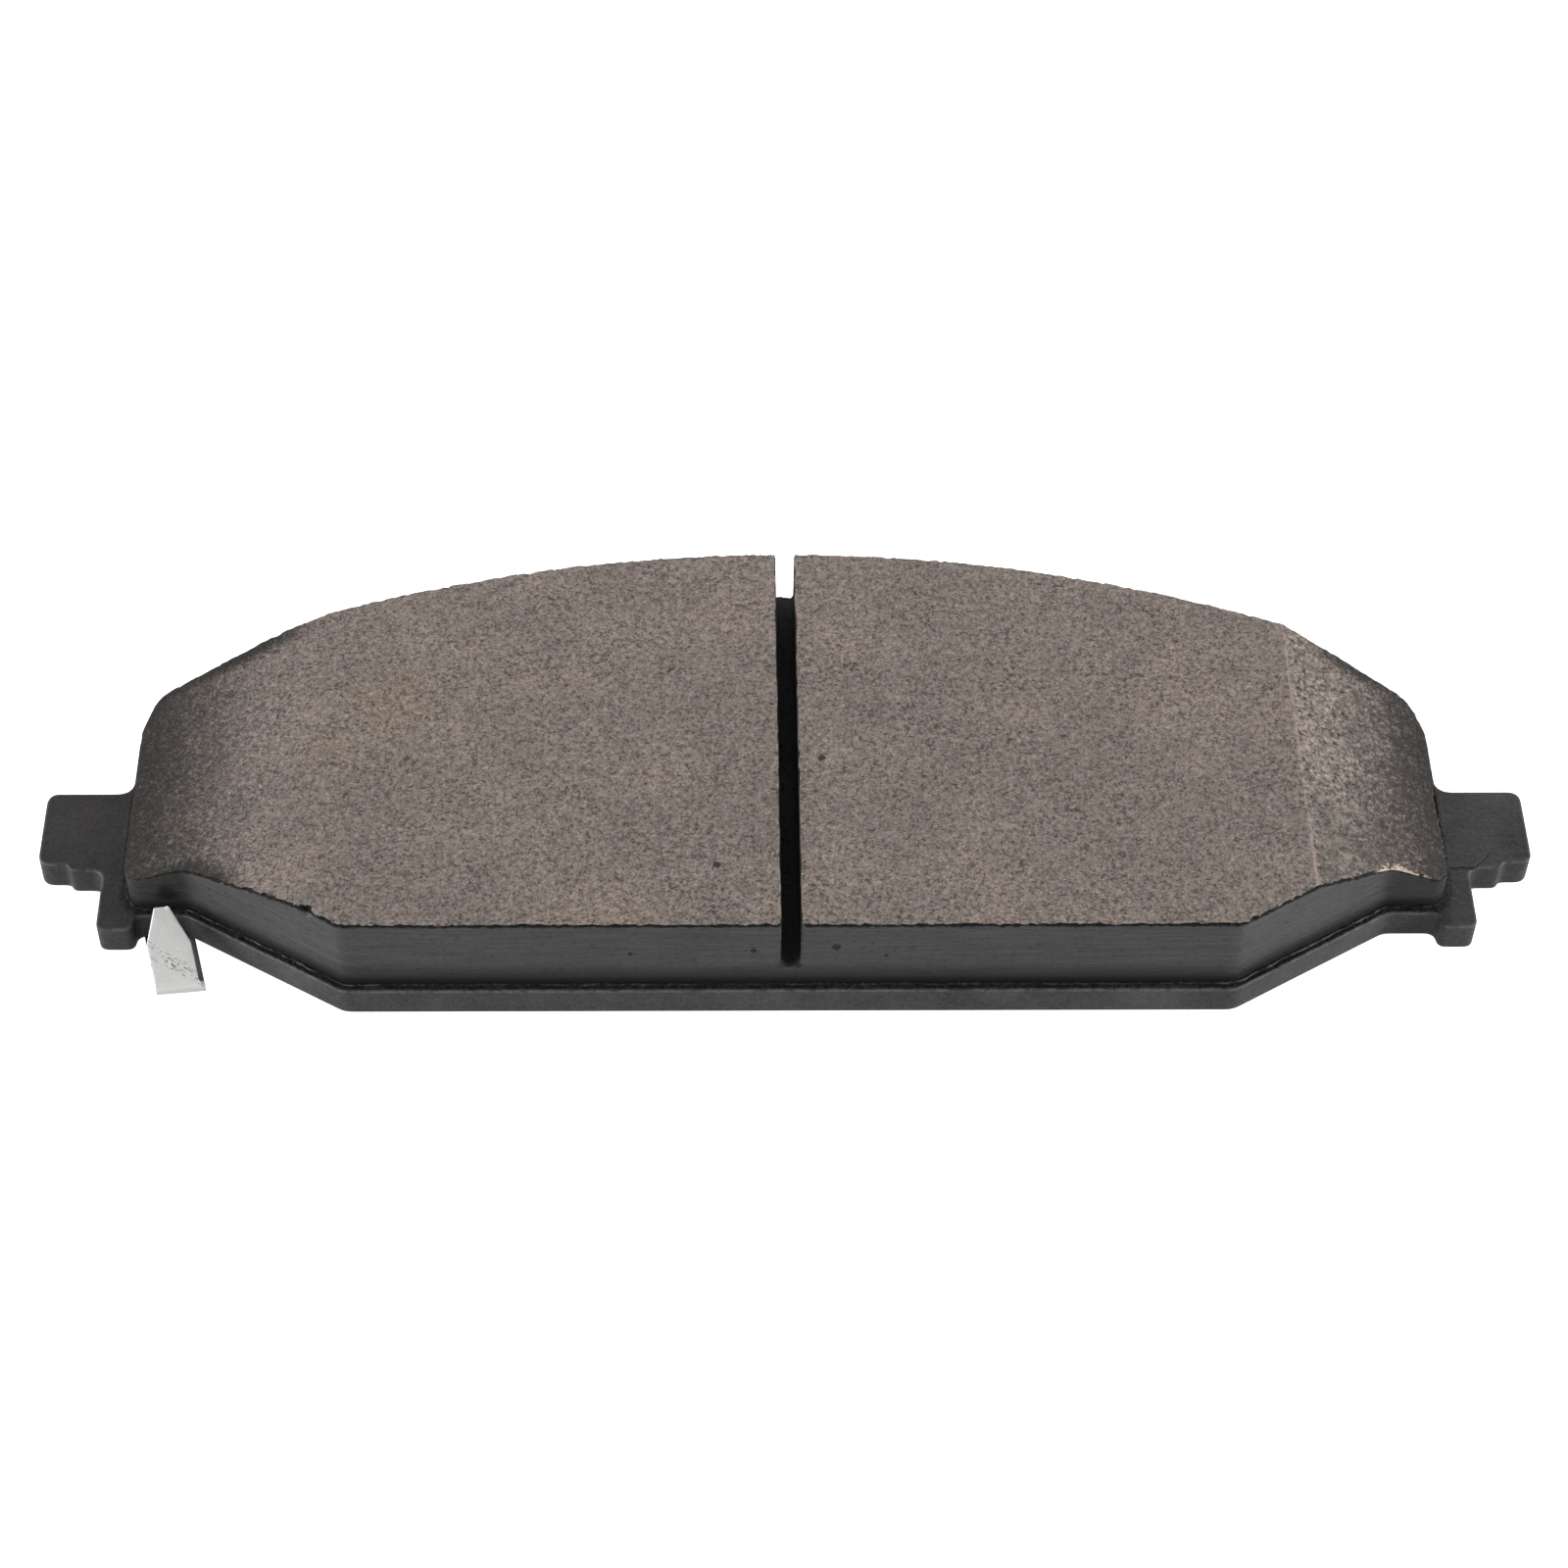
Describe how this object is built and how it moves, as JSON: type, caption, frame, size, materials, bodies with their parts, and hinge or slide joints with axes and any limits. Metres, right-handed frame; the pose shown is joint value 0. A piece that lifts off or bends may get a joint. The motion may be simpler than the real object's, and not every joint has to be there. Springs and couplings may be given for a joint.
{
  "type": "disc brake pad",
  "caption": "Disc brake pad with eared steel backing plate, slotted and chamfered friction block, laminated noise shim and riveted wear indicator.",
  "frame": {"origin": "outer face of the noise shim, at the middle of the backing plate's length and height", "axes": "+X along the pad from ear to ear, +Y away from the wheel axle towards the crown, +Z from the piston side to the disc"},
  "size_m": [0.203, 0.069, 0.0184],
  "materials": {
    "powder_coated_steel": "satin",
    "underlayer": "matte",
    "friction_compound": "matte",
    "adhesive": "satin",
    "shim_steel": "satin",
    "shim_rubber": "satin",
    "zinc_plated_steel": "satin",
    "rivet_steel": "satin"
  },
  "bodies": {
    "root": {"backing_plate": "powder_coated_steel", "bonding_underlayer": "underlayer", "friction_block": "friction_compound", "shim_adhesive": "adhesive", "shim_steel_core": "shim_steel", "shim_rubber_coat": "shim_rubber", "wear_indicator": "zinc_plated_steel", "wear_indicator_rivet": "rivet_steel"}
  },
  "joints": []
}
